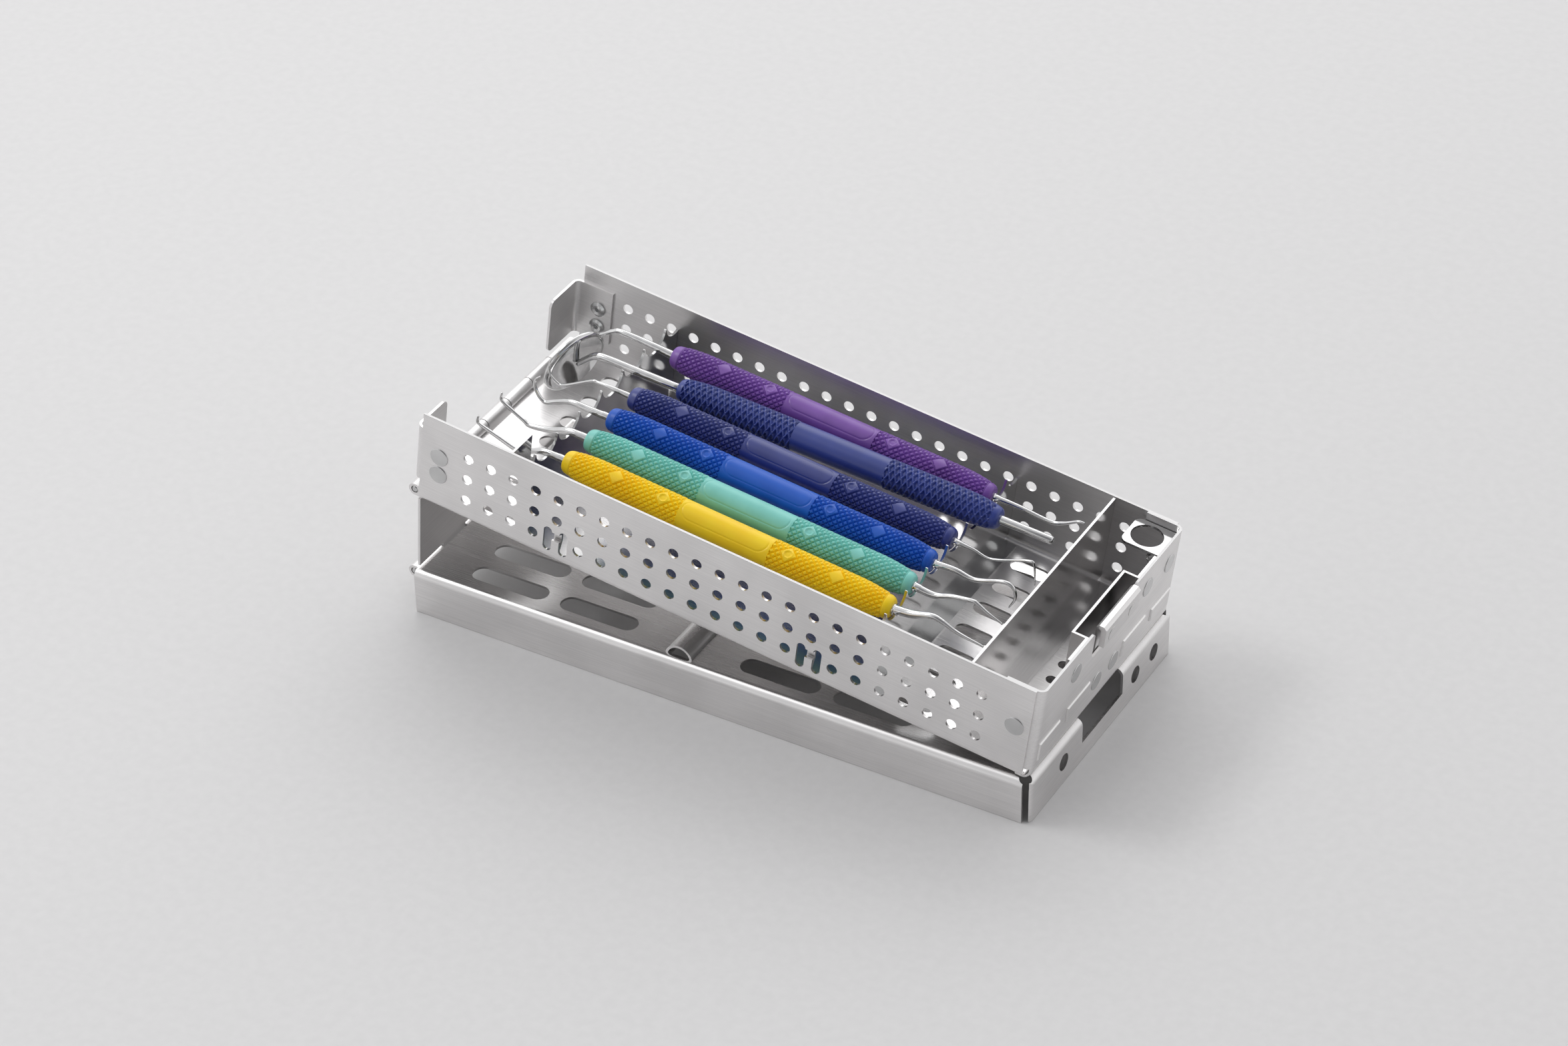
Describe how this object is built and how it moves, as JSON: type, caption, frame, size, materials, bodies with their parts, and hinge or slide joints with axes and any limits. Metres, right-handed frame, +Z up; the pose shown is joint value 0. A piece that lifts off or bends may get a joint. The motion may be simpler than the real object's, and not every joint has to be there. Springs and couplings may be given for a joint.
{
  "type": "dental instrument cassette",
  "caption": "Perforated steel tray on a folding riser over its slotted lid, with combs that hold coloured dental hand instruments and a sprung end latch.",
  "frame": {"origin": "centre of the bounding box at the level of the lid's rim, on which the open cassette stands", "axes": "+X from the hinges towards the latch, +Y from the front wall towards the back wall, +Z up"},
  "size_m": [0.2228, 0.0956, 0.0765],
  "materials": {
    "brushed_steel": "stainless sheet, fine brushing along the length",
    "polished_steel": "stainless sheet, rolled and polished, darker reflections",
    "rivet_steel": "flat-headed tubular rivets, satin",
    "pin_steel": "drawn stainless wire",
    "tool_steel": "polished instrument steel",
    "mirror_glass": "front-surface dental mirror",
    "yellow_grip": "moulded resin, knurled",
    "teal_grip": "moulded resin, knurled",
    "blue_grip": "moulded resin, knurled",
    "navy_grip": "moulded resin, knurled",
    "purple_grip": "moulded resin, knurled"
  },
  "bodies": {
    "lid": {"lid_shell": "brushed_steel", "lower_hinge_pin": "pin_steel"},
    "riser": {"riser_plate": "brushed_steel", "upper_hinge_pin": "pin_steel"},
    "tray": {"tray_shell": "brushed_steel", "front_corner_bracket": "polished_steel", "rear_corner_bracket": "polished_steel", "front_bracket_rivets": "rivet_steel", "rear_bracket_rivets": "rivet_steel", "end_lap_rivets": "rivet_steel", "guard_channel": "polished_steel", "guard_rivets": "rivet_steel", "latch_foot": "polished_steel", "latch_rivets": "rivet_steel", "ring_plate": "polished_steel", "ring_plate_rivet": "rivet_steel", "left_comb": "polished_steel", "right_comb": "polished_steel", "partition": "polished_steel", "front_rack_tab": "polished_steel"},
    "latch": {"latch_lever": "polished_steel"},
    "yellow_tool": {"yellow_handle": "yellow_grip", "yellow_left_end": "tool_steel", "yellow_right_end": "tool_steel"},
    "teal_tool": {"teal_handle": "teal_grip", "teal_left_end": "tool_steel", "teal_right_end": "tool_steel"},
    "blue_tool": {"blue_handle": "blue_grip", "blue_left_end": "tool_steel", "blue_right_end": "tool_steel"},
    "navy_tool": {"navy_handle": "navy_grip", "navy_left_end": "tool_steel", "navy_right_end": "tool_steel"},
    "purple_tool": {"purple_handle": "purple_grip", "purple_left_end": "tool_steel", "purple_right_end": "tool_steel"},
    "mirror_tool": {"mirror_handle": "navy_grip", "mirror_head": "tool_steel", "mirror_glass": "mirror_glass"}
  },
  "joints": [
    {"name": "riser_hinge", "type": "hinge", "parent": "lid", "child": "riser", "pos_m": [-0.10936, 0, 0.01335], "axis": [0, 1, 0], "range_deg": [-184.3, 0]},
    {"name": "tray_hinge", "type": "hinge", "parent": "riser", "child": "tray", "pos_m": [-0.10694, 0, 0.04546], "axis": [0, 1, 0], "range_deg": [-183.24, 0]},
    {"name": "latch_press", "type": "hinge", "parent": "tray", "child": "latch", "pos_m": [0.10497, 0, 0.03008], "axis": [0, -1, 0], "range_deg": [0, 10], "stiffness_Nm_per_rad": 0.4},
    {"name": "yellow_lift", "type": "slide", "parent": "tray", "child": "yellow_tool", "axis": [0.1312, 0, 0.9914], "range_m": [0, 0.06]},
    {"name": "teal_lift", "type": "slide", "parent": "tray", "child": "teal_tool", "axis": [0.1312, 0, 0.9914], "range_m": [0, 0.06]},
    {"name": "blue_lift", "type": "slide", "parent": "tray", "child": "blue_tool", "axis": [0.1312, 0, 0.9914], "range_m": [0, 0.06]},
    {"name": "navy_lift", "type": "slide", "parent": "tray", "child": "navy_tool", "axis": [0.1312, 0, 0.9914], "range_m": [0, 0.06]},
    {"name": "mirror_lift", "type": "slide", "parent": "tray", "child": "mirror_tool", "axis": [0.1312, 0, 0.9914], "range_m": [0, 0.06]},
    {"name": "purple_lift", "type": "slide", "parent": "tray", "child": "purple_tool", "axis": [0.1312, 0, 0.9914], "range_m": [0, 0.06]}
  ]
}
